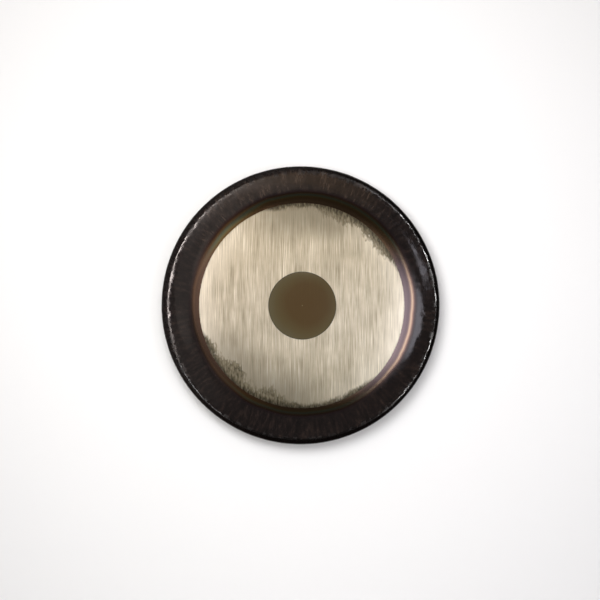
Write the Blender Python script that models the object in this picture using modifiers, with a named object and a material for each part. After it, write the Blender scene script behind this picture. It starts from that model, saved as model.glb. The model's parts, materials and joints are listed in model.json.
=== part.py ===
# A symphonic gong: one round sheet, spun and hammered, with its rim turned back, and the two
# rubber grommets that line the suspension holes in that rim. Metres, +Z up, face towards -Y.
# The origin is halfway between the two grommet bores, whose centres lie on the X axis.

import math

import bpy
from mathutils import Vector

# The sheet
gong_radius = 0.3555  # at the widest circle, where the shoulder turns into the rim
sheet_thickness = 0.0015

# The face, from the rim inwards; a tilt is measured from the plane of the face
rim_depth = 0.043  # the turned-back wall, from the end of the shoulder to the back edge
rim_taper = math.radians(4.0)  # it leans inwards towards the back
shoulder_radius = 0.022  # the round turn between rim and face
border_width = 0.0952  # the dark border: shoulder and the slope up to the bright field
border_edge_tilt = math.radians(16.0)  # where the border's slope meets the shoulder
field_edge_tilt = math.radians(4.0)  # the field is a shallow dome, and the slope starts here

# The suspension holes, one each side of the top
hole_angle = math.radians(20.625)
hole_setback = 0.022  # from the back edge to the holes' centres

# The grommets; a hole is as wide as what fills it
bore_radius = 0.0045
grommet_wall = 0.0017  # from the bore to the floor of the groove
seat_gap = 0.0003  # between the rubber and the sheet, all round the groove
collar_overlap = 0.0033  # how far the collars reach past the hole
collar_thickness = 0.0020
mouth_round = 0.0006  # at the lips of the bore

hole_radius = bore_radius + grommet_wall + seat_gap
collar_radius = hole_radius + collar_overlap
field_radius = gong_radius - border_width

# How finely the round shapes are divided
turn_steps = 96
dome_steps = 6
slope_steps = 6
shoulder_steps = 8
grommet_steps = 32
collar_steps = 4
mouth_steps = 2

grommet_names = {-1: "left_grommet", 1: "right_grommet"}


def clear_scene():
    for item in list(bpy.data.objects):
        bpy.data.objects.remove(item)


def new_collection(name):
    collection = bpy.data.collections.new(name)
    bpy.context.scene.collection.children.link(collection)
    return collection


def new_material(name, colour, roughness, metallic):
    material = bpy.data.materials.new(name)
    material.use_nodes = True
    shader = material.node_tree.nodes["Principled BSDF"]
    shader.inputs["Base Color"].default_value = (*colour, 1.0)
    shader.inputs["Roughness"].default_value = roughness
    shader.inputs["Metallic"].default_value = metallic
    return material


def tilted(angle):
    """The section's outward normal where the surface is tilted by this angle."""
    return Vector((math.sin(angle), math.cos(angle)))


def arc(centre, radius, start, end, steps):
    """Points of a section arc, between the places with these two tilts."""
    tilts = [start + (end - start) * step / steps for step in range(steps + 1)]
    return [centre + radius * tilted(tilt) for tilt in tilts]


def sheet_section(inset):
    """One side of the sheet as (radius, height) points, from the axis to the back edge.

    The arcs keep their centres, so a section with an inset is parallel to the front one.
    Height zero is the level of the suspension holes."""
    dome_radius = field_radius / math.sin(field_edge_tilt)
    dome_centre = Vector((0.0, -dome_radius))
    border_edge_radius = gong_radius - shoulder_radius * (1.0 - math.sin(border_edge_tilt))
    tilt_gain = math.sin(border_edge_tilt) - math.sin(field_edge_tilt)
    slope_radius = (border_edge_radius - field_radius) / tilt_gain
    slope_centre = dome_centre + (dome_radius - slope_radius) * tilted(field_edge_tilt)
    shoulder_centre = slope_centre + (slope_radius - shoulder_radius) * tilted(border_edge_tilt)

    rim_tilt = math.pi / 2 + rim_taper
    front_rim_start = shoulder_centre + shoulder_radius * tilted(rim_tilt)
    back_level = front_rim_start.y - rim_depth
    rim_start = shoulder_centre + (shoulder_radius - inset) * tilted(rim_tilt)
    lean = (rim_start.y - back_level) * math.tan(rim_taper)

    dome = arc(dome_centre, dome_radius - inset, 0.0, field_edge_tilt, dome_steps)
    slope = arc(
        slope_centre, slope_radius - inset, field_edge_tilt, border_edge_tilt, slope_steps
    )
    shoulder = arc(
        shoulder_centre, shoulder_radius - inset, border_edge_tilt, rim_tilt, shoulder_steps
    )
    points = dome + slope[1:] + shoulder[1:] + [Vector((rim_start.x - lean, back_level))]
    lift = Vector((0.0, -hole_setback - back_level))
    return [point + lift for point in points]


def hole_circle_radius():
    """From the gong's axis to the middle of the rim's wall, on a facet, at the holes."""
    back_edge = sheet_section(sheet_thickness / 2)[-1]
    middle_of_wall = back_edge.x + hole_setback * math.tan(rim_taper)
    return middle_of_wall * math.cos(math.pi / turn_steps)


def turned(name, profile, closed, steps, collection, parent, material):
    """A profile in the XZ plane, turned about Z by a Screw modifier."""
    count = len(profile)
    edges = [(i, (i + 1) % count) for i in range(count if closed else count - 1)]
    mesh = bpy.data.meshes.new(name)
    mesh.from_pydata([(point.x, 0.0, point.y) for point in profile], edges, [])
    mesh.materials.append(material)
    item = bpy.data.objects.new(name, mesh)
    item.parent = parent
    collection.objects.link(item)
    screw = item.modifiers.new("turn", "SCREW")
    screw.axis = "Z"
    screw.steps = steps
    screw.render_steps = steps
    screw.use_merge_vertices = True
    screw.merge_threshold = 0.00001
    screw.use_smooth_shade = True
    return item


def shade_walls_evenly(item):
    """Narrow edges take their shading from the wide walls beside them."""
    shading = item.modifiers.new("even_shading", "WEIGHTED_NORMAL")
    shading.weight = 100


def gong_axis(collection):
    """The empty on the gong's axis: its Z points out of the face, its Y up."""
    axis = bpy.data.objects.new("gong_axis", None)
    axis.location = (0.0, 0.0, -hole_circle_radius() * math.cos(hole_angle))
    axis.rotation_euler = (math.pi / 2, 0.0, 0.0)
    collection.objects.link(axis)
    return axis


def place_in_hole(item, side):
    """Puts an item's origin in the middle of a hole's wall, and its Z out along the hole."""
    angle = side * hole_angle
    outwards = Vector((math.sin(angle), math.cos(angle), 0.0))
    item.location = hole_circle_radius() * outwards
    direction = outwards * math.cos(rim_taper) - Vector((0.0, 0.0, math.sin(rim_taper)))
    item.rotation_euler = direction.to_track_quat("Z", "Y").to_euler()


def hole_cutter(side, collection, parent):
    wall_reach = 2 * (sheet_thickness + hole_radius)  # well past both sides of the wall
    bpy.ops.mesh.primitive_cylinder_add(
        vertices=grommet_steps, radius=hole_radius, depth=wall_reach
    )
    cutter = bpy.context.object
    cutter.name = "hole_cutter"
    for owner in list(cutter.users_collection):
        owner.objects.unlink(cutter)
    collection.objects.link(cutter)
    cutter.parent = parent
    place_in_hole(cutter, side)
    cutter.hide_render = True
    cutter.display_type = "WIRE"
    return cutter


def make_sheet(collection, cutters, axis, material):
    """The gong itself: front and back surfaces joined at a flat back edge, with two holes."""
    section = sheet_section(0.0) + sheet_section(sheet_thickness)[::-1]
    sheet = turned("gong_sheet", section, False, turn_steps, collection, axis, material)
    for side in grommet_names:
        hole = sheet.modifiers.new("suspension_hole", "BOOLEAN")
        hole.operation = "DIFFERENCE"
        hole.solver = "EXACT"
        hole.object = hole_cutter(side, cutters, axis)
    shade_walls_evenly(sheet)


def grommet_section():
    """The closed section of a grommet: the outer half, then the same mirrored below it."""
    groove_half = sheet_thickness / 2 + seat_gap
    groove_radius = hole_radius - seat_gap
    face = groove_half + collar_thickness
    edge_round = collar_thickness / 2
    lip_centre = Vector((bore_radius + mouth_round, face - mouth_round))
    edge_centre = Vector((collar_radius - edge_round, face - edge_round))
    upper = arc(lip_centre, mouth_round, -math.pi / 2, 0.0, mouth_steps)
    upper += arc(edge_centre, edge_round, 0.0, math.pi, collar_steps)
    upper.append(Vector((groove_radius, groove_half)))
    lower = [Vector((point.x, -point.y)) for point in reversed(upper)]
    return upper + lower


def make_grommet(side, collection, axis, material):
    name = grommet_names[side]
    grommet = turned(name, grommet_section(), True, grommet_steps, collection, axis, material)
    place_in_hole(grommet, side)
    shade_walls_evenly(grommet)


def main():
    clear_scene()
    pieces = new_collection("symphonic_gong")
    cutters = new_collection("cutters")
    axis = gong_axis(pieces)
    nickel_silver = new_material("nickel_silver", (0.54, 0.47, 0.34), 0.35, 1.0)
    black_rubber = new_material("black_rubber", (0.02, 0.02, 0.02), 0.7, 0.0)
    make_sheet(pieces, cutters, axis, nickel_silver)
    for side in grommet_names:
        make_grommet(side, pieces, axis, black_rubber)


main()
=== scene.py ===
# A symphonic gong, hung square to the camera: one hammered sheet of nickel silver and the two
# rubber grommets in its rim. Metres, +Z up, the face looks along -Y.

import json
import math
from functools import partial

import bmesh
import bpy
from mathutils import Matrix, Vector

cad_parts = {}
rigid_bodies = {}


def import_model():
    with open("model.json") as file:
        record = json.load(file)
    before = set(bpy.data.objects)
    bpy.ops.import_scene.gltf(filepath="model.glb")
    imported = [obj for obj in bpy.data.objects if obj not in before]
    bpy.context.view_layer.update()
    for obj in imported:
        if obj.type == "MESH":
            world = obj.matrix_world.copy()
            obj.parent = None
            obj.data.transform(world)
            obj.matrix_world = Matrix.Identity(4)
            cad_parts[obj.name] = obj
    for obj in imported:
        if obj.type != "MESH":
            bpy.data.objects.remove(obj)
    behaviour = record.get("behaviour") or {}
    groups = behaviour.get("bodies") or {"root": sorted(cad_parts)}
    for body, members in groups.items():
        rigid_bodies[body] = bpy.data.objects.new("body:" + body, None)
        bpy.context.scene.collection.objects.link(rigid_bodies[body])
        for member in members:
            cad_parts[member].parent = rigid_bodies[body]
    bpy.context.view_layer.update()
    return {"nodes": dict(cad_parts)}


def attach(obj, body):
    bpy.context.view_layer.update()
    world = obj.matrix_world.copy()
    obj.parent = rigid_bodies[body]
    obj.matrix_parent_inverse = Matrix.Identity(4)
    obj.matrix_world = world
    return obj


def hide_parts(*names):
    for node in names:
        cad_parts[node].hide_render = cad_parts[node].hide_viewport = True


for leftover in list(bpy.data.objects):
    bpy.data.objects.remove(leftover)

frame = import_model()
print("frame loaded:", sorted(frame["nodes"]))

# the kinds of node and the operations that are used most
maths, vectors = "ShaderNodeMath", "ShaderNodeVectorMath"
mixes, ranges, ramps = "ShaderNodeMix", "ShaderNodeMapRange", "ShaderNodeValToRGB"
plus, minus = {"operation": "ADD"}, {"operation": "SUBTRACT"}
times, timesPlus = {"operation": "MULTIPLY"}, {"operation": "MULTIPLY_ADD"}
noiseMean = 0.5


def linearColour(code):
    # an sRGB hex colour as the linear RGBA that a node wants
    parts = [int(code[place:place + 2], 16) / 255 for place in (1, 3, 5)]
    linear = [
        part / 12.92 if part <= 0.04045 else ((part + 0.055) / 1.055) ** 2.4 for part in parts]
    return linear + [1.0]


def addNode(tree, kind, inputs=(), stops=None, **settings):
    # adds one node, sets it and links it; gives back its first output in use
    node = tree.nodes.new(kind)
    for name, value in settings.items():
        setattr(node, name, value)
    if stops:
        for place, colour in stops[1:-1]:
            node.color_ramp.elements.new(place)
        for element, (place, colour) in zip(node.color_ramp.elements, stops):
            element.position = place
            element.color = linearColour(colour)
    pairs = inputs.items() if isinstance(inputs, dict) else enumerate(inputs)
    for key, value in pairs:
        if isinstance(key, int):
            socket = node.inputs[key]
        else:
            socket = next(item for item in node.inputs if item.enabled and item.name == key)
        if isinstance(value, bpy.types.NodeSocket):
            tree.links.new(value, socket)
        else:
            socket.default_value = value
    return next((socket for socket in node.outputs if socket.enabled), node)


gongSheet = {
    "radius": 0.35568,  # at the widest circle, before the hammering takes 0.4 mm off
    "thickness": 0.0015,
    "rimDepth": 0.0398,
    "rimTaper": math.radians(4.0),
    "shoulderRadius": 0.0255,
    "borderWidth": 0.0958,
    "borderEdgeTilt": math.radians(16.0),
    "fieldEdgeTilt": math.radians(4.0),
    "axisHeight": -0.330409,
    "backEdge": -0.022,  # level of the back edge, with the holes at zero
    "edgeRound": 0.0004,  # corners of the cut back edge
    "edgeSteps": 3,
    "holeRadius": 0.0065,
    "holeSide": 0.124357,  # hole centres, left and right of the middle
    "holeAngle": math.radians(20.625),
    "holeCorners": 64,
    "cutterHalf": 0.006,  # half the length of the tool that cuts a hole
    "stepsRound": 768,
    "ringSpacing": 0.0032,  # a ring is divided half as often while its step stays below this
    "fewestRound": 12,  # steps round the smallest rings
    "fieldStep": 0.0050,
    "borderStep": 0.0030,
    "shoulderStep": 0.0020,
    "rimStep": 0.0048,
}

hammerWork = {
    "dentDepth": 0.00042,  # round hammer marks, deepest on the shoulder
    "dentWidth": 0.0130,
    "dentLeast": 0.6,  # depth of the lightest blow, as a share of the dent depth
    "dentSpread": 1.2,  # what is added to that for the hardest blow
    "dentRarity": 3.0,  # the higher, the fewer blows are hard
    "dentSteepness": 1.3,  # of the wall of a dent
    "fluteDepth": 0.00030,  # long radial strokes from the border over the shoulder
    "fluteWidth": 0.0130,
    "fluteLength": 0.060,
    "fluteSteepness": 1.2,
    "waveDepth": 0.00060,  # slow swelling of the whole sheet
    "waveWidth": 0.110,
    "seed": 7.0,
    # how strong the marks are along the sheet, by reach from the middle over the gong's radius
    "dentShare": (
        (0.0, 0.02), (0.60, 0.02), (0.76, 0.05), (0.84, 0.18), (0.90, 0.32), (0.94, 0.60),
        (0.96, 1.0), (0.975, 1.0), (0.99, 0.2), (1.0, 0.2)),
    "fluteShare": (
        (0.0, 0.0), (0.74, 0.0), (0.82, 0.15), (0.88, 0.50), (0.93, 0.80),
        (0.96, 1.0), (0.975, 1.0), (0.99, 0.2), (1.0, 0.2)),
    # by the same reach, where they fade on the rim, and the share that stays
    "rimFadeStart": 1.04,
    "rimFadeEnd": 1.11,
    "rimShare": 0.3,
    # from a hole's centre: none within the first distance, full beyond the second
    "seatRadius": 0.013,
    "seatBlend": 0.030,
}


def tilted(angle):
    # the outward normal of the section where the sheet is tilted by this angle
    return Vector((math.sin(angle), math.cos(angle)))


def sheetSection(sheet):
    # half of the sheet's outline, from the middle of the face round the back edge to the middle
    # of the back: radius, height, inward direction, reach along the sheet, ring step
    radius, shoulder = sheet["radius"], sheet["shoulderRadius"]
    low, high = sheet["fieldEdgeTilt"], sheet["borderEdgeTilt"]
    fieldRadius = radius - sheet["borderWidth"]
    domeRadius = fieldRadius / math.sin(low)
    domeCentre = Vector((0.0, -domeRadius))
    edgeRadius = radius - shoulder * (1.0 - math.sin(high))
    slopeRadius = (edgeRadius - fieldRadius) / (math.sin(high) - math.sin(low))
    slopeCentre = domeCentre + (domeRadius - slopeRadius) * tilted(low)
    shoulderCentre = slopeCentre + (slopeRadius - shoulder) * tilted(high)
    rimTilt = math.pi / 2 + sheet["rimTaper"]
    rimStart = shoulderCentre + shoulder * tilted(rimTilt)
    lift = sheet["backEdge"] - (rimStart.y - sheet["rimDepth"])

    arcs = (
        (domeCentre, domeRadius, 0.0, low, sheet["fieldStep"]),
        (slopeCentre, slopeRadius, low, high, sheet["borderStep"]),
        (shoulderCentre, shoulder, high, rimTilt, sheet["shoulderStep"]),
    )
    front = [(Vector((0.0, 0.0)), 0.0)]
    for centre, bend, start, end, spacing in arcs:
        steps = math.ceil(bend * (end - start) / spacing)
        tilts = [start + (end - start) * step / steps for step in range(1, steps + 1)]
        front += [(centre + bend * tilted(tilt), tilt) for tilt in tilts]

    wall = tilted(rimTilt)
    down = Vector((-math.sin(sheet["rimTaper"]), -math.cos(sheet["rimTaper"])))
    edge = sheet["edgeRound"]
    drop = (sheet["rimDepth"] - edge * (1.0 + math.cos(rimTilt))) / math.cos(sheet["rimTaper"])
    steps = math.ceil(drop / sheet["rimStep"])
    front += [(rimStart + down * drop * step / steps, rimTilt) for step in range(1, steps + 1)]

    rows = []
    reach = 0.0
    last = front[0][0]
    for point, tilt in front:
        reach += (point - last).length
        last = point
        rows.append([point, tilted(tilt), reach])
    back = [[point - normal * sheet["thickness"], normal, reach] for point, normal, reach in rows]

    steps = sheet["edgeSteps"]
    cornerTilts = [rimTilt + (math.pi - rimTilt) * step / steps for step in range(1, steps + 1)]
    outerCentre = rows[-1][0] - edge * wall
    innerCentre = Vector((back[-1][0].x + edge * wall.x, outerCentre.y))
    corner = [outerCentre + edge * tilted(tilt) for tilt in cornerTilts]
    corner += [
        innerCentre + edge * Vector((-math.sin(tilt), math.cos(tilt)))
        for tilt in cornerTilts[::-1]]
    rows += [[point, wall, reach + edge] for point in corner]

    frontRows = len(rows)
    rows += back[::-1]
    section = []
    coarsest = sheet["stepsRound"] // sheet["fewestRound"]
    for number, (point, normal, reach) in enumerate(rows):
        finest = 2 * math.pi * point.x / sheet["stepsRound"]
        ringStep = 1
        while ringStep < coarsest and finest * ringStep * 2 < sheet["ringSpacing"]:
            ringStep *= 2
        if number >= frontRows:
            ringStep = min(coarsest, ringStep * 2)  # the back is divided half as finely
        section.append((point.x, point.y + lift, -normal.x, -normal.y, reach, ringStep))
    return section


def sectionObject(name, section):
    # the outline as a string of points that carry what the node tree reads
    mesh = bpy.data.meshes.new(name)
    points = [(row[0], 0.0, row[1]) for row in section]
    mesh.from_pydata(points, [(i, i + 1) for i in range(len(points) - 1)], [])
    # each attribute is filled before the next is added, because adding one moves the others
    carried = {
        "inward": ("FLOAT_VECTOR", "vector", [(row[2], 0.0, row[3]) for row in section]),
        "reach": ("FLOAT", "value", [row[4] for row in section]),
        "ringStep": ("INT", "value", [row[5] for row in section]),
    }
    for column, (kind, key, values) in carried.items():
        attribute = mesh.attributes.new(column, kind, "POINT")
        for item, value in zip(attribute.data, values):
            setattr(item, key, value)
    outline = bpy.data.objects.new(name, mesh)
    bpy.context.scene.collection.objects.link(outline)
    return outline


def hammeredLathe(work):
    # turns an outline about the gong's axis, thins the rings out near the middle, then hammers it
    tree = bpy.data.node_groups.new("hammeredLathe", "GeometryNodeTree")
    add = partial(addNode, tree)
    tree.interface.new_socket("Geometry", in_out="INPUT", socket_type="NodeSocketGeometry")
    named = {
        "NodeSocketInt": ["Steps Round"],
        "NodeSocketFloat": [
            "Axis Height", "Gong Radius", "Seed", "Dent Depth", "Dent Width", "Dent Least",
            "Dent Spread", "Dent Rarity", "Dent Steepness", "Flute Depth", "Flute Width",
            "Flute Length", "Flute Steepness", "Wave Depth", "Wave Width", "Rim Fade Start",
            "Rim Fade End", "Rim Share", "Seat Radius", "Seat Blend"],
        "NodeSocketVector": ["Hole Place"],
        "NodeSocketMaterial": ["Finish"],
    }
    for kind, names in named.items():
        for name in names:
            tree.interface.new_socket(name, in_out="INPUT", socket_type=kind)
    tree.interface.new_socket("Geometry", in_out="OUTPUT", socket_type="NodeSocketGeometry")
    given = {socket.name: socket for socket in tree.nodes.new("NodeGroupInput").outputs}

    # a grid with one row of points for each point of the outline, rolled up about the axis
    outline = given["Geometry"]
    points = add("GeometryNodeAttributeDomainSize", [outline])
    columns = add("FunctionNodeIntegerMath", [given["Steps Round"], 1], **plus)
    grid = add("GeometryNodeMeshGrid", {
        "Size X": 1.0, "Size Y": 1.0, "Vertices X": columns, "Vertices Y": points})
    index = add("GeometryNodeInputIndex")
    column = add("FunctionNodeIntegerMath", [index, points], operation="DIVIDE_FLOOR")
    row = add("FunctionNodeIntegerMath", [index, points], operation="MODULO")

    carried = {"place": add("GeometryNodeInputPosition")}
    kinds = {"place": "FLOAT_VECTOR", "inward": "FLOAT_VECTOR", "reach": "FLOAT", "ringStep": "INT"}
    for name, kind in kinds.items():
        if name != "place":
            carried[name] = add("GeometryNodeInputNamedAttribute", {"Name": name}, data_type=kind)
        carried[name] = add("GeometryNodeSampleIndex", {
            "Geometry": outline, "Value": carried[name], "Index": row}, data_type=kind)
    place = add("ShaderNodeSeparateXYZ", [carried["place"]]).node.outputs
    inward = add("ShaderNodeSeparateXYZ", [carried["inward"]]).node.outputs
    reach, ringStep = carried["reach"], carried["ringStep"]

    # a ring that is thinned out gathers its points in twos, fours and so on
    snapped = add("FunctionNodeIntegerMath", [column, ringStep], operation="DIVIDE_FLOOR")
    snapped = add("FunctionNodeIntegerMath", [snapped, ringStep], **times)
    angle = add(maths, [snapped, given["Steps Round"]], operation="DIVIDE")
    angle = add(maths, [angle, 2 * math.pi], **times)
    cosine = add(maths, [angle], operation="COSINE")
    sine = add(maths, [angle], operation="SINE")
    turned = add("ShaderNodeCombineXYZ", [
        add(maths, [place["X"], cosine], **times),
        add(maths, [place["Z"], -1.0], **times),
        add(maths, [place["X"], sine, given["Axis Height"]], **timesPlus)])
    push = add("ShaderNodeCombineXYZ", [
        add(maths, [inward["X"], cosine], **times),
        add(maths, [inward["Z"], -1.0], **times),
        add(maths, [inward["X"], sine], **times)])

    # round blows, on a flat map of the sheet where they are as long as they are wide; each goes
    # to its own depth
    sheetMap = add("ShaderNodeCombineXYZ", [
        add(maths, [reach, cosine], **times),
        add(maths, [reach, sine], **times), 0.0])
    dents = add("ShaderNodeTexVoronoi", {
        "Vector": sheetMap, "W": given["Seed"],
        "Scale": add(maths, [1.0, given["Dent Width"]], operation="DIVIDE")},
        voronoi_dimensions="4D", feature="F1")
    force = add("ShaderNodeSeparateXYZ", [dents.node.outputs["Color"]])
    force = add(maths, [force, given["Dent Rarity"]], operation="POWER")
    force = add(maths, [force, given["Dent Spread"], given["Dent Least"]], **timesPlus)
    bowl = add(maths, [dents, dents], **times)
    bowl = add(maths, [bowl, given["Dent Steepness"]], **times)
    bowl = add(maths, [1.0, bowl], **minus, use_clamp=True)
    bowl = add(maths, [bowl, force], **times)
    bowl = add(maths, [bowl, given["Dent Depth"]], **times)

    # long radial strokes
    turns = add(maths, [given["Gong Radius"], given["Flute Width"]], operation="DIVIDE")
    fluteMap = add("ShaderNodeCombineXYZ", [
        add(maths, [turns, cosine], **times),
        add(maths, [turns, sine], **times),
        add(maths, [reach, given["Flute Length"]], operation="DIVIDE")])
    flutes = add("ShaderNodeTexVoronoi", {"Vector": fluteMap, "W": given["Seed"], "Scale": 1.0},
        voronoi_dimensions="4D", feature="SMOOTH_F1")
    trough = add(maths, [flutes, flutes], **times)
    trough = add(maths, [trough, given["Flute Steepness"]], **times)
    trough = add(maths, [1.0, trough], **minus, use_clamp=True)
    trough = add(maths, [trough, given["Flute Depth"]], **times)

    share = add(maths, [reach, given["Gong Radius"]], operation="DIVIDE")
    marks = {"dentShare": bowl, "fluteShare": trough}
    for name, depth in marks.items():
        curve = add("ShaderNodeFloatCurve", {"Value": share}).node
        points = curve.mapping.curves[0].points
        for _ in work[name][1:-1]:
            points.new(0.5, 0.5)
        for point, mark in zip(points, work[name]):
            point.location = mark
            point.handle_type = "VECTOR"
        curve.mapping.update()
        marks[name] = add(maths, [depth, curve.outputs[0]], **times)
    depth = add(maths, [marks["dentShare"], marks["fluteShare"]], **plus)

    # the straight rim is nearly smooth, and the seats of the grommets stay true
    rimFade = add(ranges, {
        "Value": share, "From Min": given["Rim Fade Start"], "From Max": given["Rim Fade End"],
        "To Min": 1.0, "To Max": given["Rim Share"]})
    depth = add(maths, [depth, rimFade], **times)
    waves = add("ShaderNodeTexNoise", {
        "Vector": sheetMap, "W": given["Seed"], "Detail": 1.0,
        "Scale": add(maths, [1.0, given["Wave Width"]], operation="DIVIDE")}, noise_dimensions="4D")
    depth = add(maths, [waves, given["Wave Depth"], depth], **timesPlus)
    bothSides = add(vectors, [turned], operation="ABSOLUTE")
    holeGap = add(vectors, [bothSides, given["Hole Place"]], operation="DISTANCE")
    seatFade = add(ranges, {
        "Value": holeGap.node.outputs["Value"], "From Min": given["Seat Radius"],
        "From Max": given["Seat Blend"]})
    depth = add(maths, [depth, seatFade], **times)
    pushed = add(vectors, {0: push, 3: depth}, operation="SCALE")
    hammered = add(vectors, [turned, pushed], **plus)

    made = add("GeometryNodeSetPosition", {"Geometry": grid, "Position": hammered})
    made = add("GeometryNodeMergeByDistance", {"Geometry": made, "Distance": 0.00001})
    made = add("GeometryNodeSetShadeSmooth", {"Geometry": made})
    made = add("GeometryNodeRealizeInstances", {"Geometry": made})
    made = add("GeometryNodeSetMaterial", {"Geometry": made, "Material": given["Finish"]})
    add("NodeGroupOutput", [made])
    return tree


def plainMesh(source, name):
    # what the modifiers make of an object, as a mesh of its own in a new object
    bpy.context.view_layer.update()
    evaluated = source.evaluated_get(bpy.context.evaluated_depsgraph_get())
    mesh = bpy.data.meshes.new_from_object(evaluated)
    mesh.name = name
    made = bpy.data.objects.new(name, mesh)
    bpy.context.scene.collection.objects.link(made)
    bpy.data.objects.remove(source)
    return made


def holeDirection(side, sheet):
    # outwards along a hole, which leans back with the rim's taper
    flat = Vector((side * math.sin(sheet["holeAngle"]), 0.0, math.cos(sheet["holeAngle"])))
    return flat * math.cos(sheet["rimTaper"]) + Vector((0.0, math.sin(sheet["rimTaper"]), 0.0))


def intoHole(side, sheet):
    # the turn and the place that bring a mesh made about Z into a hole
    turn = holeDirection(side, sheet).to_track_quat("Z", "Y").to_matrix().to_4x4()
    return Matrix.Translation((side * sheet["holeSide"], 0.0, 0.0)) @ turn


def makeGongSheet(sheet, work, finish):
    outline = sectionObject("gongOutline", sheetSection(sheet))
    lathe = outline.modifiers.new("lathe", "NODES")
    lathe.node_group = hammeredLathe(work)
    sizes = {
        **sheet, **work, "gongRadius": sheet["radius"], "finish": finish,
        "holePlace": (sheet["holeSide"], 0.0, 0.0)}
    for item in lathe.node_group.interface.items_tree:
        key = item.name[0].lower() + item.name[1:].replace(" ", "")
        if item.in_out == "INPUT" and key in sizes:
            lathe[item.identifier] = sizes[key]
    blank = plainMesh(outline, "gongBlank")

    cutters = []
    corners, bore, half = sheet["holeCorners"], sheet["holeRadius"], sheet["cutterHalf"]
    turns = [2 * math.pi * i / corners for i in range(corners)]
    points = [
        (bore * math.cos(turn), bore * math.sin(turn), height)
        for height in (-half, half) for turn in turns]
    sides = [
        (i, (i + 1) % corners, corners + (i + 1) % corners, corners + i) for i in range(corners)]
    sides += [tuple(range(corners))[::-1], tuple(range(corners, 2 * corners))]
    for side in (-1, 1):
        mesh = bpy.data.meshes.new("holeCutter")
        mesh.from_pydata(points, [], sides)
        mesh.transform(intoHole(side, sheet))
        mesh.materials.append(finish)
        cutter = bpy.data.objects.new("holeCutter", mesh)
        bpy.context.scene.collection.objects.link(cutter)
        cutters.append(cutter)
        hole = blank.modifiers.new("hole", "BOOLEAN")
        hole.operation = "DIFFERENCE"
        hole.solver = "EXACT"
        hole.object = cutter
    gong = plainMesh(blank, "hammeredGong")
    gong.data.materials.clear()
    gong.data.materials.append(finish)
    for cutter in cutters:
        bpy.data.objects.remove(cutter)
    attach(gong, "root")
    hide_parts("gong_sheet")
    return gong


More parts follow.
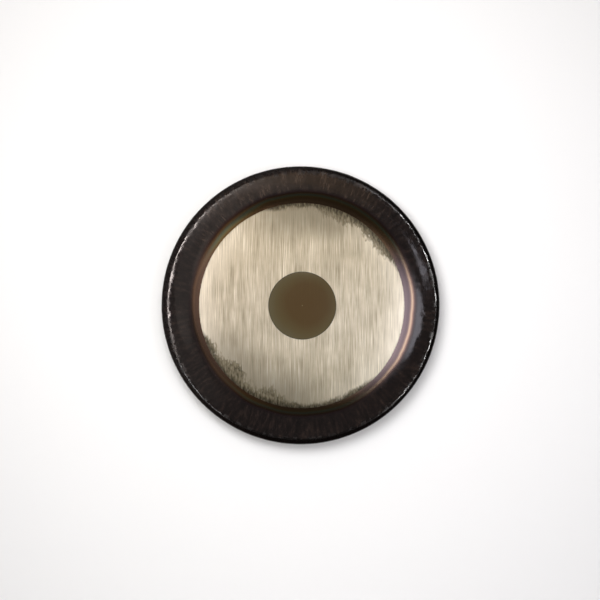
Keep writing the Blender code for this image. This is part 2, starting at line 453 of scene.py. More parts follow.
# Sizes are metres. A centre is given to the right of the gong's axis and above it, and an arc
# of the face by its direction, the angle within which it is full and the one beyond which it
# is gone, in degrees.
face = {
    "fieldCentre": (0.0031, -0.0006),
    "fieldRadius": 0.2597,
    "fieldScallop": 0.0016,  # how far the strokes' ends make the field's edge wander
    "discCentre": (0.0045, -0.0005),
    "discRadius": 0.0854,
    "discBrownest": (0.016, 0.0, 0.004),
    "discReach": 0.11,  # from there, the distance over which the disc's colours change
    "discClouds": 0.020,  # how far that distance wanders
    "discBlur": 0.0004,
    "discLineWidth": 0.0016,
    "markRadius": 0.0012,  # the lathe's mark in the middle
    "tintCentre": (0.0064, 0.0036),
    "tintRadius": 0.2759,  # the line of the heat tint
    "tintWidth": 0.0050,
    "tintWander": 0.006,
    "tintBroader": (-0.006, 0.0045),  # what is added to radius and width where it is broad
    "cutDepth": 0.0216,  # behind this the edge is cut bare
    # from where to where each of these rises: by distance from the gong's axis, by depth,
    # outside the tint's line, in widths of that line, and inside the edge of field or patch
    "rises": {
        "turn": (0.3385, 0.3460),
        "shoulder": (0.330, 0.337),
        "turnDepth": (-0.014, -0.022),
        "border": (0.004, 0.018),
        "tint": (-3.0, 3.5),
        "field": (0.0005, 0.0013),
        "patch": (-0.003, 0.006),
        "patchPaler": (0.0, 0.014),
        # by the strength of a pattern
        "strokes": (0.375, 0.625),
        "rubbed": (0.45, 0.70),
        "brown": (0.38, 0.60),
        "dull": (0.47, 0.60),
    },
    # patches at the field's edge: arc, width
    "unbrushed": (
        (50, 10, 34, 0.019), (84, 14, 30, 0.015), (214, 9, 20, 0.022), (240, 12, 30, 0.017),
        (270, 28, 50, 0.011)),
    "patchFray": (2.3, 0.004),  # how far their edge frays: share of the width, and at least
    "patchStrength": 0.95,
    "patchPaler": 0.55,  # at the inner end
    "patchContrast": {"scratches": 1.3, "frayed": 2.4},
    "patchDarker": 0.45,
    # painted sheen and shade on the brushed metal towards its edge, paler left and right as painted
    # highlights and darker at the top and lower left as painted shade: arc, where it begins and is
    # full, strength, colour, and whether the colour covers or only darkens
    "burnishing": (
        (180, 20, 60, 0.190, 0.268, 0.60, "#f3edda", "MIX"),
        (-8, 36, 76, 0.190, 0.268, 0.60, "#f3edda", "MIX"),
        (240, 12, 50, 0.120, 0.235, 0.62, "#aeafaf", "MULTIPLY"),
        (88, 8, 36, 0.150, 0.222, 0.60, "#a8a9a2", "MULTIPLY")),
    "burnishShowing": (0.5, 1.4),  # on the darkest strokes and on the lightest
    # arcs where the painted black of the turn begins further out (minus), clear of the highlights,
    # or further in, as deeper painted shade below: arc, how far
    "turnShifts": ((150, 50, 110, -0.0045), (0, 45, 75, -0.0032), (-95, 30, 60, 0.0025)),
    "paleTurn": (150, 50, 110),
    # over the top arc the browner streaks are a painted reflection of a lamp above; the oxide is
    # duller
    "overTop": (98, 30, 62),  # browner, duller oxide
    "broadTint": (138, 8, 30),
    "rightTint": (-15, 36, 66),
    "oliveTop": (90, 50, 72),
    "oliveBelow": (-95, 22, 50),
    # patterns: upright, round the gong or flat; width and length in millimetres; detail. The
    # strokes of a hand brush are 0.3 mm wide, and are drawn some six times as coarse to show.
    "patterns": {
        "bands": ("upright", 14.0, 260.0, 1.0),
        "strokes": ("upright", 1.9, 120.0, 1.0),
        "scratches": ("upright", 1.2, 60.0, 2.0),
        "blotches": ("flat", 45.0, 60.0, 3.0),
        "frayed": ("upright", 5.0, 14.0, 4.0),
        "clouds": ("flat", 70.0, 70.0, 2.0),
        "blows": ("round", 9.0, 45.0, 3.0),
        "scale": ("round", 3.2, 12.0, 2.0),
        "warmth": ("round", 80.0, 120.0, 1.0),
        "wander": ("round", 70.0, 1000.0, 2.0),
        "scallop": ("round", 6.0, 1000.0, 1.0),
        "bending": ("round", 30.0, 80.0, 1.0),
        "showing": ("round", 20.0, 30.0, 1.0),
        "polish": ("round", 11.0, 26.0, 1.0),
    },
    "sway": (83.33, 0.0008),  # of the upright ones: width in millimetres, and how far in metres
    "strokeShares": {"bands": 0.13, "strokes": 0.27, "scratches": 0.43, "blotches": 0.17},
    "oxideShares": {"scale": 0.35, "blows": 0.65},
    "brown": (0.05, 0.25),  # share of the brown streaks in the oxide
    "brownOverTop": 0.6,
    "oliveBelowShare": 0.9,
    "rubbedShare": 0.15,
    # each ramp goes from the darkest of a pattern to its lightest; those of the tint and the
    # disc go outwards
    "ramps": {
        "brushed": ((0.0, "#8e8770"), (0.35, "#aea792"), (0.62, "#c2baa3"), (1.0, "#e3decb")),
        "patch": ((0.0, "#2c291f"), (0.45, "#544f40"), (1.0, "#8b846e")),
        "oxide": ((0.34, "#0b0706"), (0.52, "#130d0c"), (0.70, "#221916")),
        "streaks": ((0.36, "#0b0706"), (0.52, "#1a1310"), (0.70, "#3a2f27")),
        "disc": ((0.0, "#41311a"), (0.55, "#41321b"), (0.78, "#463c25"), (1.0, "#4b4533")),
        "tint": (
            (0.0, "#66564e"), (0.22, "#63534b"), (0.34, "#605149"), (0.46, "#6d5b4f"),
            (0.56, "#604f44"), (0.66, "#473c39"), (0.80, "#33292a"), (1.0, "#17110f")),
        # on the right the tint's line is paler, a painted highlight over the heat tint
        "rightTint": (
            (0.0, "#544a4a"), (0.24, "#4b4242"), (0.35, "#584b48"), (0.43, "#7b6a5a"),
            (0.50, "#897664"), (0.58, "#6f5c4f"), (0.68, "#493d3a"), (1.0, "#17110f")),
        "olive": (
            (0.0, "#5e4b38"), (0.18, "#523f2c"), (0.34, "#57472d"), (0.42, "#53533f"),
            (0.50, "#4b5146"), (0.58, "#554530"), (0.66, "#372722"), (0.80, "#241b1e"),
            (1.0, "#140f0e")),
    },
    # the turn's black is painted shade over its oxide; its paler colour is a painted reflection
    "turn": "#0c0908",
    "turnPale": "#201b19",
    "discRubbed": "#4a3b20",
    # the lines and marks over all of it: strength, colour
    "discLine": (0.75, "#2b2a20"),
    "centreMark": (0.25, "#b3a684"),
    "cutEdge": (0.85, "#a89d84"),
    "roughness": {"tint": 0.15, "disc": 0.12, "cutEdge": 0.35, "brushed": 0.35, "oxide": 0.06},
    # what is added to it at most: by the strokes, the scale, the place and the dull spots
    "roughening": {"brushed": 0.14, "oxide": 0.10, "overTop": 0.13, "dull": 0.22},
    "relief": {"strokes": 0.00003, "disc": 0.000006, "blows": 0.000015, "spinning": 0.000004},
    "scratchRelief": 0.5,  # against the strokes
    # arcs that the spinning left in the oxide: centre, spacing
    "spinning": (((0.030, 0.020), 0.0040), ((-0.045, -0.010), 0.0033)),
    "spinningBend": 16.0,
    "anisotropy": 0.9,
    "gloss": 1.0,
    "edgeGrey": 0.5,  # keeps the black turn from a bright outline
}


def nickelSilver(sheet, face):
    # Nickel silver, spun and hammered. The forging left a near-black oxide with a gloss on the
    # border, rim and disc; the field is brushed bare in upright strokes, which spread light
    # sideways; the heat of the forging left rings of colour beside it. The back edge is cut bare.
    # Light is painted over the real colours too: sheen and shade at the field's edge, a black turn,
    # a paler tint on the right and browner streaks over the top.
    material = bpy.data.materials.new("forgedAndBrushedNickelSilver")
    material.use_nodes = True
    tree = material.node_tree
    add = partial(addNode, tree)
    shader = tree.nodes["Principled BSDF"]
    stops, rough, rougher = face["ramps"], face["roughness"], face["roughening"]
    heights = face["relief"]
    rises = {name: {"From Min": a, "From Max": b} for name, (a, b) in face["rises"].items()}
    colours = {"data_type": "RGBA"}
    smooth = {"interpolation_type": "SMOOTHSTEP"}

    place = add("ShaderNodeTexCoord").node.outputs["Object"]
    toAxis = (0.0, 0.0, -sheet["axisHeight"])
    onAxis = add("ShaderNodeMapping", {"Vector": place, "Location": toAxis})
    depthBack = add("ShaderNodeSeparateXYZ", [place]).node.outputs["Y"]

    def flatFrom(centre):
        # place on the face, distance and direction from a centre
        moved = add(vectors, [onAxis, (centre[0], 0.0, centre[1])], **minus)
        flat = add(vectors, [moved, (1.0, 0.0, 1.0)], **times)
        distance = add(vectors, [flat], operation="LENGTH").node.outputs["Value"]
        return flat, distance, add(vectors, [flat], operation="NORMALIZE")

    def towards(way, degrees, inner, outer):
        # 1 within inner degrees of a direction on the face, 0 beyond outer degrees
        aim = (math.cos(math.radians(degrees)), 0.0, math.sin(math.radians(degrees)))
        along = add(vectors, [way, aim], operation="DOT_PRODUCT").node.outputs["Value"]
        far, near = math.cos(math.radians(outer)), math.cos(math.radians(inner))
        return add(ranges, {"Value": along, "From Min": far, "From Max": near}, **smooth)

    flat, radius, direction = flatFrom((0.0, 0.0))
    _, fieldDistance, fieldWay = flatFrom(face["fieldCentre"])
    _, discDistance, _ = flatFrom(face["discCentre"])
    _, tintDistance, tintWay = flatFrom(face["tintCentre"])

    # upright strokes sway a little; round patterns run about the gong and along the sheet
    swayWidth, swayReach = face["sway"]
    sway = add("ShaderNodeTexNoise", {"Vector": flat, "Scale": 1000 / swayWidth, "Detail": 1.0})
    sway = add(maths, [sway, swayReach], **times)
    sway = add("ShaderNodeCombineXYZ", [sway, 0.0, 0.0])
    upright = add(vectors, [flat, sway], **plus)
    ring = add(vectors, {0: direction, 3: sheet["radius"]}, operation="SCALE")
    along = add(maths, [radius, depthBack], **plus)
    along = add("ShaderNodeCombineXYZ", [0.0, along, 0.0])
    ring = add(vectors, [ring, along], **plus)
    spaces = {"flat": flat, "upright": upright, "round": ring}
    grain = {}
    for name, (space, width, length, detail) in face["patterns"].items():
        across, onward = 1000 / width, 1000 / length
        scale = (across, onward, across) if space == "round" else (across, 1.0, onward)
        scaled = add(vectors, [spaces[space], scale], **times)
        grain[name] = add("ShaderNodeTexNoise", {"Vector": scaled, "Scale": 1.0, "Detail": detail})

    # the brushed field
    strokes = 0.0
    for name, share in face["strokeShares"].items():
        strokes = add(maths, [grain[name], share, strokes], **timesPlus)
    strokes = add(ranges, {"Value": strokes, **rises["strokes"]})
    onDark, onLight = face["burnishShowing"]
    fieldColour = add(ramps, [strokes], stops=stops["brushed"])
    # painted sheen and shade at the field's edge, lighter where lamps would fall on it, darker
    # where not
    for *arc, begins, full, strength, code, blend in face["burnishing"]:
        share = add(ranges, {
            "Value": fieldDistance, "From Min": begins, "From Max": full, "To Max": strength},
            **smooth)
        share = add(maths, [share, towards(fieldWay, *arc)], **times)
        showing = add(ranges, {"Value": strokes, "To Min": onDark, "To Max": onLight})
        share = add(maths, [share, showing], **times, use_clamp=True)
        fieldColour = add(mixes, {"Factor": share, "A": fieldColour, "B": linearColour(code)},
            blend_type=blend, **colours)

    # where the brush didn't reach, at the field's edge, the metal stays grey-green
    edgeGap = add(maths, [face["fieldRadius"], fieldDistance], **minus)
    bareWidth = 0.0
    for *arc, width in face["unbrushed"]:
        here = towards(fieldWay, *arc)
        bareWidth = add(maths, [here, width, bareWidth], **timesPlus)
    unbrushed = add(maths, [bareWidth, edgeGap], **minus)
    frayed = add(maths, [grain["frayed"], noiseMean], **minus)
    fraying = add(maths, [bareWidth, *face["patchFray"]], **timesPlus)
    unbrushed = add(maths, [frayed, fraying, unbrushed], **timesPlus)
    blotched = add(maths, [grain["blotches"], noiseMean], **minus)
    unbrushed = add(maths, [blotched, fraying, unbrushed], **timesPlus)
    unbrushed = add(ranges, {
        "Value": unbrushed, **rises["patch"], "To Max": face["patchStrength"]})
    contrast = face["patchContrast"]
    patch = add(ranges, {"Value": edgeGap, **rises["patchPaler"], "To Max": face["patchPaler"]})
    patch = add(maths, [grain["scratches"], contrast["scratches"], patch], **timesPlus)
    patch = add(maths, [frayed, contrast["frayed"], patch], **timesPlus)
    patch = add(maths, [patch, face["patchDarker"]], **minus, use_clamp=True)
    patch = add(ramps, [patch], stops=stops["patch"])
    fieldColour = add(mixes, {"Factor": unbrushed, "A": fieldColour, "B": patch}, **colours)

    # the dark oxide: radial blows, finer scale, and browner streaks, strongest over the top, where
    # they are a painted reflection of a lamp above
    shares = face["oxideShares"]
    oxide = add(maths, [grain["scale"], shares["scale"]], **times)
    oxide = add(maths, [grain["blows"], shares["blows"], oxide], **timesPlus)
    overTop = towards(direction, *face["overTop"])
    oxideColour = add(ramps, [oxide], stops=stops["oxide"])
    streakColour = add(ramps, [oxide], stops=stops["streaks"])
    least, most = face["brown"]
    brown = add(ranges, {
        "Value": grain["warmth"], **rises["brown"], "To Min": least, "To Max": most})
    brown = add(maths, [overTop, face["brownOverTop"], brown], **timesPlus, use_clamp=True)
    oxideColour = add(mixes, {"Factor": brown, "A": oxideColour, "B": streakColour}, **colours)

    # the turn of the shoulder is painted blackest over its oxide, a painted shade for the dark
    # surroundings it reflects; on the left it is paler, a painted reflection
    outwards = radius
    for *arc, shift in face["turnShifts"]:
        here = towards(direction, *arc)
        outwards = add(maths, [here, shift, outwards], **timesPlus)
    outwards = add(ranges, {"Value": outwards, **rises["turn"]}, **smooth)
    paintedShadeTurnColour = add(mixes, {
        "Factor": towards(direction, *face["paleTurn"]),
        "A": linearColour(face["turn"]), "B": linearColour(face["turnPale"])}, **colours)
    onTurn = add(ranges, {"Value": depthBack, **rises["turnDepth"]})
    onTurn = add(maths, [onTurn, outwards], **times)
    oxideColour = add(mixes, {"Factor": onTurn, "A": oxideColour, "B": paintedShadeTurnColour}, **colours)

    # the heat tint: a line of colour that wanders a little, olive and teal over the top and below,
    # and paler on the right, where a painted highlight lies on it
    wander = add(maths, [grain["wander"], noiseMean], **minus)
    wander = add(maths, [wander, face["tintWander"], tintDistance], **timesPlus)
    broad = towards(tintWay, *face["broadTint"])
    shift, widening = face["tintBroader"]
    lineRadius = add(maths, [broad, shift, face["tintRadius"]], **timesPlus)
    lineWidth = add(maths, [broad, widening, face["tintWidth"]], **timesPlus)
    tint = add(maths, [wander, lineRadius], **minus)
    tint = add(maths, [tint, lineWidth], operation="DIVIDE")
    tint = add(ranges, {"Value": tint, **rises["tint"]})
    tintColour = add(ramps, [tint], stops=stops["tint"])
    # a painted highlight on the right of the tint
    toRight = towards(tintWay, *face["rightTint"])
    rightTint = add(ramps, [tint], stops=stops["rightTint"])
    tintColour = add(mixes, {"Factor": toRight, "A": tintColour, "B": rightTint}, **colours)
    olive, below = (towards(tintWay, *face[name]) for name in ("oliveTop", "oliveBelow"))
    olive = add(maths, [below, face["oliveBelowShare"], olive], **timesPlus)
    oliveTint = add(ramps, [tint], stops=stops["olive"])
    tintColour = add(mixes, {"Factor": olive, "A": tintColour, "B": oliveTint}, **colours)

    # the disc: the same oxide thinner, olive at its edge and browner towards the right
    browned = add(vectors, [flat, face["discBrownest"]], operation="DISTANCE")
    browned = browned.node.outputs["Value"]
    browned = add(maths, [grain["clouds"], face["discClouds"], browned], **timesPlus)
    browned = add(maths, [browned, face["discReach"]], operation="DIVIDE")
    discColour = add(ramps, [browned], stops=stops["disc"])
    rubbed = add(ranges, {
        "Value": grain["strokes"], **rises["rubbed"], "To Max": face["rubbedShare"]})
    discColour = add(mixes, {
        "Factor": rubbed, "A": discColour, "B": linearColour(face["discRubbed"])}, **colours)

    # where each finish lies
    fieldEdge = add(maths, [grain["scallop"], face["fieldScallop"], edgeGap], **timesPlus)
    inField = add(ranges, {"Value": fieldEdge, **rises["field"]})
    disc, blur = face["discRadius"], face["discBlur"]
    inDisc = add(ranges, {
        "Value": discDistance, "From Min": disc + blur, "From Max": disc - blur})
    begins, full = (face["tintRadius"] + outside for outside in face["rises"]["border"])
    inBorder = add(ranges, {"Value": wander, "From Min": begins, "From Max": full}, **smooth)
    cutEdge = add(maths, [depthBack, face["cutDepth"]], operation="GREATER_THAN")
    lineHalf = face["discLineWidth"] / 2
    marks = {
        "discLine": add(maths, [discDistance, disc - blur / 2, lineHalf], operation="COMPARE"),
        "centreMark": add(maths, [discDistance, face["markRadius"]], operation="LESS_THAN"),
        "cutEdge": cutEdge,
    }

    colour = tintColour
    layers = ((inBorder, oxideColour), (inField, fieldColour), (inDisc, discColour))
    for where, over in layers:
        colour = add(mixes, {"Factor": where, "A": colour, "B": over}, **colours)
    for name, where in marks.items():
        strength, code = face[name]
        share = add(maths, [where, strength], **times)
        colour = add(mixes, {"Factor": share, "A": colour, "B": linearColour(code)}, **colours)

    # the oxide hides the metal, apart from the thin one of the tint and the painted black one of
    # the turn
    metallic = 1.0
    for where in (inBorder, inDisc):
        metallic = add(maths, [metallic, where], **minus)
    for where in (cutEdge, onTurn):
        metallic = add(maths, [metallic, where], **plus, use_clamp=True)

    oxideRough = add(maths, [grain["scale"], rougher["oxide"], rough["oxide"]], **timesPlus)
    oxideRough = add(maths, [overTop, rougher["overTop"], oxideRough], **timesPlus)
    dull = add(ranges, {
        "Value": grain["polish"], **rises["dull"], "To Max": rougher["dull"]}, **smooth)
    onShoulder = add(ranges, {"Value": radius, **rises["shoulder"]})
    oxideRough = add(maths, [dull, onShoulder, oxideRough], **timesPlus)
    brushedRough = add(maths, [grain["strokes"], rougher["brushed"], rough["brushed"]], **timesPlus)
    roughness = rough["tint"]
    layers = (
        (inBorder, oxideRough), (inField, brushedRough), (inDisc, rough["disc"]),
        (cutEdge, rough["cutEdge"]))
    for where, over in layers:
        roughness = add(mixes, {"Factor": where, "A": roughness, "B": over})

    # bump: strokes on the field; arcs of the spinning and radial blows on the oxide
    spun = 0.0
    for centre, spacing in face["spinning"]:
        _, distance, _ = flatFrom(centre)
        bent = add(maths, [distance, 2 * math.pi / spacing], **times)
        bent = add(maths, [grain["bending"], face["spinningBend"], bent], **timesPlus)
        arc = add(maths, [bent], operation="SINE")
        spun = add(maths, [arc, grain["showing"], spun], **timesPlus)
    oxideRelief = add(maths, [grain["blows"], heights["blows"]], **times)
    oxideRelief = add(maths, [spun, heights["spinning"], oxideRelief], **timesPlus)
    scratched = [grain["scratches"], face["scratchRelief"], grain["strokes"]]
    fieldRelief = add(maths, scratched, **timesPlus)
    fieldRelief = add(maths, [fieldRelief, heights["strokes"]], **times)
    relief = add(mixes, {"Factor": inField, "A": oxideRelief, "B": fieldRelief})
    discRelief = add(maths, [grain["scratches"], heights["disc"]], **times)
    relief = add(mixes, {"Factor": inDisc, "A": relief, "B": discRelief})
    bump = add("ShaderNodeBump", {"Height": relief, "Strength": 1.0, "Distance": 1.0})

    # light spreads across the strokes: sideways on the field, along the rings elsewhere
    ringWay = add(vectors, [direction, (0.0, 1.0, 0.0)], operation="CROSS_PRODUCT")
    sideways = (1.0, 0.0, 0.0)
    tangent = add(mixes, {"Factor": inField, "A": ringWay, "B": sideways}, data_type="VECTOR")

    finished = {
        "Base Color": colour, "Metallic": metallic, "Roughness": roughness, "Normal": bump,
        "Tangent": tangent}
    for name, value in finished.items():
        tree.links.new(value, shader.inputs[name])
    shader.inputs["Anisotropic"].default_value = face["anisotropy"]
    shader.inputs["Specular IOR Level"].default_value = face["gloss"]
    shader.inputs["Specular Tint"].default_value = (face["edgeGrey"],) * 3 + (1.0,)
    return material


grommet = {
    "boreRadius": 0.0045,
    "grooveRadius": 0.0062,
    "grooveHalf": 0.00105,
    "collarRadius": 0.0098,
    "collarThickness": 0.0020,
    "mouthRound": 0.0006,
    "partingHeight": 0.0001,  # the ridge that the two halves of the mould leave
    "partingHalf": 0.0004,
    "stepsRound": 64,
    "mouthSteps": 4,
    "beadSteps": 10,
    # the rubber from bare to dusty, and the widths of its dust blotches and grain in millimetres
    "colours": ((0.3, "#141313"), (0.55, "#1d1b1b"), (0.75, "#32302f")),
    "roughness": (0.50, 0.72),
    "bloomWidth": 2.5,
    "grainWidth": 0.2857,
    "grainDepth": 0.00004,
}


def blackRubber(look):
    # Black rubber, moulded: matt, with the fine grain of its mould and a bloom of grey dust.
    material = bpy.data.materials.new("mouldedBlackRubber")
    material.use_nodes = True
    tree = material.node_tree
    add = partial(addNode, tree)
    shader = tree.nodes["Principled BSDF"]
    place = add("ShaderNodeTexCoord").node.outputs["Object"]
    bloom = add("ShaderNodeTexNoise", {
        "Vector": place, "Scale": 1000 / look["bloomWidth"], "Detail": 3.0})
    grain = add("ShaderNodeTexNoise", {
        "Vector": place, "Scale": 1000 / look["grainWidth"], "Detail": 2.0})
    colour = add(ramps, [bloom], stops=look["colours"])
    bare, dusty = look["roughness"]
    roughness = add(ranges, {"Value": bloom, "To Min": bare, "To Max": dusty})
    bump = add("ShaderNodeBump", {"Height": grain, "Distance": look["grainDepth"]})
    for name, value in {"Base Color": colour, "Roughness": roughness, "Normal": bump}.items():
        tree.links.new(value, shader.inputs[name])
    return material


def makeGrommet(side, name, sizes, sheet, rubber):
    # the closed section of a grommet, turned about the hole's own line
    bore, mouth = sizes["boreRadius"], sizes["mouthRound"]
    half, outer = sizes["grooveHalf"] + sizes["collarThickness"], sizes["collarRadius"]
    bead, parting = sizes["collarThickness"] / 2, sizes["partingHeight"]
    mouthSteps, beadSteps = sizes["mouthSteps"], sizes["beadSteps"]
    upper = [(bore + parting, sizes["partingHalf"]), (bore + parting, half - mouth)]
    for step in range(1, mouthSteps + 1):
        turn = math.radians(90 * step / mouthSteps)
        upper.append((
            bore + parting + mouth - mouth * math.cos(turn),
            half - mouth + mouth * math.sin(turn)))
    for step in range(beadSteps + 1):
        turn = math.radians(90 - 180 * step / beadSteps)
        ridge = parting if step * 2 == beadSteps else 0.0
        upper.append((
            outer - bead - parting + (bead + ridge) * math.cos(turn),
            half - bead + bead * math.sin(turn)))
    upper.append((sizes["grooveRadius"], sizes["grooveHalf"]))
    section = [(bore, 0.0)] + upper + [(radius, -height) for radius, height in upper[::-1]]

    count, steps = len(section), sizes["stepsRound"]
    turns = [2 * math.pi * step / steps for step in range(steps)]
    points = [
        (radius * math.cos(turn), radius * math.sin(turn), height)
        for turn in turns for radius, height in section]
    faces = []
    for step in range(steps):
        here, there = step * count, (step + 1) % steps * count
        faces += [
            (here + i, there + i, there + (i + 1) % count, here + (i + 1) % count)
            for i in range(count)]
    mesh = bpy.data.meshes.new(name)
    mesh.from_pydata(points, [], faces)
    mesh.transform(intoHole(side, sheet))
    shape = bmesh.new()
    shape.from_mesh(mesh)
    bmesh.ops.recalc_face_normals(shape, faces=shape.faces)
    shape.to_mesh(mesh)
    shape.free()
    for polygon in mesh.polygons:
        polygon.use_smooth = True
    mesh.materials.append(rubber)
    made = bpy.data.objects.new(name, mesh)
    bpy.context.scene.collection.objects.link(made)
    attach(made, "root")
    return made


studioLight = {
    "cameraPlace": (-0.0013, -3.641, -0.3168),
    "lens": 85.0,
    "sensorWidth": 36.0,
    "room": 0.13,
    "paper": "#dfdfdf",
    "paperRoughness": 0.9,
    "paperLift": 0.07,
    "wallDistance": 0.042,  # the sweep behind the gong, from the line of the holes
    "wallTop": 2.2,
    "floorLevel": -1.75,
    "floorFront": -0.75,
    "sweepHalf": 3.0,
    "cove": 0.35,
    "coveSteps": 12,
    # place and aim from the middle of the gong, width, height, brightness, colour, and which
    # surfaces take its light: matt ones, glossy ones or both
    "lamps": {
        "key": ((-0.28, -2.0, 0.42), (0, 0, 0), 0.92, 0.92, 16.4, "#ffffff", "matt"),
        "fill": ((0.0, -1.6, 0.3), (0, 0, 0), 2.8, 2.8, 0.76, "#ffffff", "matt"),
        "leftSoftbox": ((-2.03, -2.0, 0.34), (0, 0, 0), 0.25, 1.30, 20.0, "#fff1ec", "glossy"),
        "leftLamp1": ((-1.88, -2.0, 1.17), (0, 0, 0), 0.34, 0.34, 38.0, "#fff1ec", "glossy"),
        "leftLamp2": ((-1.56, -2.0, 1.45), (0, 0, 0), 0.26, 0.26, 22.0, "#fff4ea", "glossy"),
        "leftLamp3": ((-1.22, -2.0, 1.70), (0, 0, 0), 0.22, 0.22, 13.0, "#fff4ea", "glossy"),
        "leftLamp4": ((-2.14, -2.0, -0.58), (0, 0, 0), 0.24, 0.34, 9.0, "#fff4ea", "glossy"),
        "leftLamp5": ((-2.48, -2.0, -1.15), (0, 0, 0), 0.34, 0.44, 8.0, "#fff4ea", "glossy"),
        "leftInner": ((-0.70, -2.0, 0.36), (-0.2, 0, 0.1), 0.5, 1.1, 0.82, "#ffe9d8", "both"),
        "leftUpper": ((-0.40, -2.0, 0.46), (-0.2, 0, 0.2), 0.55, 0.27, 1.5, "#fff5ec", "both"),
        "leftOuter": ((-1.22, -2.0, 0.30), (-0.2, 0, 0.1), 0.6, 1.5, 0.36, "#fff1e8", "both"),
        "leftLow": ((-0.50, -2.0, -0.46), (-0.2, 0, -0.2), 0.5, 0.6, 0.25, "#ffdcb8", "both"),
        "leftBelow": ((-1.30, -2.0, -0.70), (-0.2, 0, -0.1), 0.9, 1.3, 0.17, "#fff1e8", "both"),
        "topPanel": ((0.22, -2.0, 0.33), (0.1, 0, 0.2), 0.90, 0.25, 2.1, "#fff6ee", "both"),
        "rightPanel": ((0.91, -2.0, -0.15), (0.91, 0, -0.15), 0.98, 0.82, 3.8, "#f6f3ff", "both"),
        "rightSpark1": ((1.43, -2.0, 0.68), (0, 0, 0), 0.09, 0.12, 7.0, "#f6f3ff", "glossy"),
        "rightSpark2": ((1.53, -2.0, 0.44), (0, 0, 0), 0.26, 0.10, 7.0, "#f6f3ff", "glossy"),
        "rightBelow": ((0.42, -2.0, -0.43), (0.2, 0, -0.2), 0.80, 0.25, 1.9, "#fffaf0", "both"),
        "ceilingLow": ((-0.1, -2.0, 1.28), (0, 0, 0), 1.8, 0.36, 0.30, "#ffcf9e", "both"),
        "ceilingHigh": ((-0.1, -2.0, 1.66), (0, 0, 0), 1.9, 0.56, 0.62, "#ffcf9e", "both"),
        "ceilingTop": ((-0.1, -2.0, 2.25), (0, 0, 0), 1.9, 0.80, 0.32, "#ffcf9e", "both"),
        "behind": ((0.9, 2.0, 0.8), (0, 0, 0), 1.8, 1.8, 5.0, "#ffffff", "both"),
        "behindLow": ((-0.9, 2.0, -0.1), (0, 0, 0), 1.2, 1.8, 2.0, "#ffffff", "both"),
    },
    "oblong": ("leftSoftbox",),  # the lamps with corners; the others are round
    # small lamps round the gong, low enough for the hammer marks of the shoulder to catch them:
    # direction on the face, distance from the gong's axis, brightness
    "glintForward": 0.90,
    "glintSize": 0.14,
    "glints": (
        (60, 2.0, 55.0), (40, 2.1, 90.0), (20, 2.3, 110.0), (2, 2.6, 120.0), (-18, 2.5, 125.0),
        (-40, 2.5, 120.0), (212, 1.70, 22.0), (222, 1.85, 20.0), (232, 1.95, 18.0)),
}


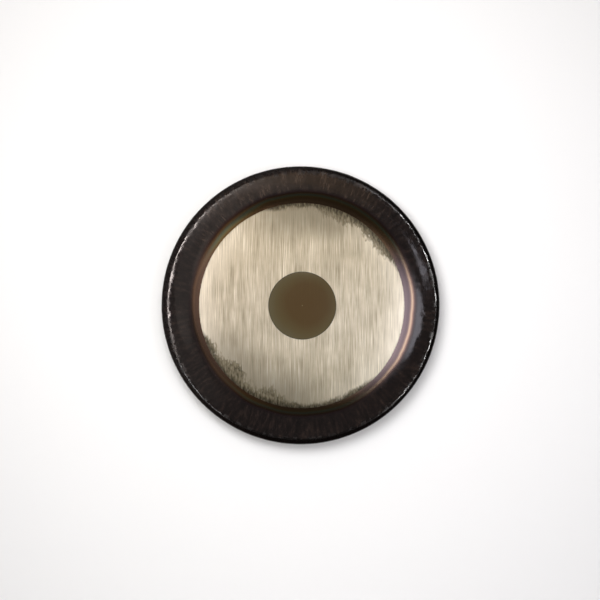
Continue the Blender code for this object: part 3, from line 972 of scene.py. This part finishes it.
def studio(sheet, light):
    # a pale sweep close behind the gong, seen from its front only, so that it never hides the back
    wall, floor, cove = light["wallDistance"], light["floorLevel"], light["cove"]
    half, steps = light["sweepHalf"], light["coveSteps"]
    profile = [(wall, light["wallTop"])]
    for step in range(steps + 1):
        turn = math.radians(90 * step / steps)
        profile.append((wall - cove * (1 - math.cos(turn)), floor + cove * (1 - math.sin(turn))))
    profile.append((light["floorFront"], floor))
    mesh = bpy.data.meshes.new("paleSweep")
    points = [(x, y, z) for y, z in profile for x in (-half, half)]
    strips = [(2 * i, 2 * i + 1, 2 * i + 3, 2 * i + 2) for i in range(len(profile) - 1)]
    mesh.from_pydata(points, [], strips)
    for polygon in mesh.polygons:
        polygon.use_smooth = True
    if mesh.polygons[0].normal.y > 0:
        mesh.flip_normals()
    sweep = bpy.data.objects.new("paleSweep", mesh)
    bpy.context.scene.collection.objects.link(sweep)

    # Matt white paper. Its own light only lifts it to white, for the camera and in reflections.
    # It casts no shadow, so the lamps behind it reach the back of the gong.
    material = bpy.data.materials.new("mattWhitePaper")
    material.use_nodes = True
    tree = material.node_tree
    add = partial(addNode, tree)
    shader = tree.nodes["Principled BSDF"]
    shader.inputs["Base Color"].default_value = linearColour(light["paper"])
    shader.inputs["Roughness"].default_value = light["paperRoughness"]
    ray = add("ShaderNodeLightPath").node.outputs
    seen = add(maths, [ray["Is Camera Ray"], ray["Is Glossy Ray"]], operation="MAXIMUM")
    seen = add(maths, [seen, ray["Is Transmission Ray"]], operation="MAXIMUM")
    glow = add(maths, [seen, light["paperLift"]], **times)
    glow = add("ShaderNodeEmission", {"Color": (1.0, 1.0, 1.0, 1.0), "Strength": glow})
    paper = add("ShaderNodeAddShader", [shader.outputs["BSDF"], glow])
    behind = add("ShaderNodeNewGeometry").node.outputs["Backfacing"]
    behind = add(maths, [behind, ray["Is Shadow Ray"]], operation="MAXIMUM")
    clear = add("ShaderNodeBsdfTransparent")
    both = add("ShaderNodeMixShader", [behind, paper, clear])
    tree.links.new(both, tree.nodes["Material Output"].inputs["Surface"])
    mesh.materials.append(material)

    world = bpy.data.worlds.new("dimStudio")
    bpy.context.scene.world = world
    world.use_nodes = True
    grey = (light["room"],) * 3 + (1.0,)
    world.node_tree.nodes["Background"].inputs["Color"].default_value = grey

    lamps = dict(light["lamps"])
    size = light["glintSize"]
    for number, (degrees, away, brightness) in enumerate(light["glints"]):
        turn = math.radians(degrees)
        place = (away * math.cos(turn), -light["glintForward"], away * math.sin(turn))
        name = "glint%d" % number
        lamps[name] = (place, (0, 0, 0), size, size, brightness, "#ffffff", "glossy")
    middle = Vector((0.0, 0.0, sheet["axisHeight"]))
    for name, (place, aim, wide, high, brightness, colour, takes) in lamps.items():
        lamp = bpy.data.lights.new(name, "AREA")
        oblong = name in light["oblong"]
        lamp.shape = "RECTANGLE" if oblong else "ELLIPSE"
        lamp.size, lamp.size_y = wide, high
        area = wide * high * (1.0 if oblong else math.pi / 4)
        lamp.energy = brightness * math.pi * area
        lamp.color = linearColour(colour)[:3]
        holder = bpy.data.objects.new(name, lamp)
        holder.location = Vector(place) + middle
        holder.rotation_euler = (Vector(aim) - Vector(place)).to_track_quat("-Z", "Y").to_euler()
        holder.visible_camera = False
        holder.visible_glossy = takes != "matt"
        holder.visible_diffuse = takes != "glossy"
        bpy.context.scene.collection.objects.link(holder)

    camera = bpy.data.cameras.new("camera")
    camera.lens = light["lens"]
    camera.sensor_width = light["sensorWidth"]
    holder = bpy.data.objects.new("camera", camera)
    holder.location = light["cameraPlace"]
    holder.rotation_euler = (math.pi / 2, 0.0, 0.0)
    bpy.context.scene.collection.objects.link(holder)
    bpy.context.scene.camera = holder
    bpy.context.scene.view_settings.view_transform = "Standard"


nickelSilverFinish = nickelSilver(gongSheet, face)
gong = makeGongSheet(gongSheet, hammerWork, nickelSilverFinish)
print("gong sheet made:", len(gong.data.polygons), "faces")

rubber = blackRubber(grommet)
for side, node in ((-1, "left_grommet"), (1, "right_grommet")):
    made = makeGrommet(side, node.replace("_g", "G"), grommet, gongSheet, rubber)
    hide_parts(node)
print("grommets made")

studio(gongSheet, studioLight)
print("studio made")
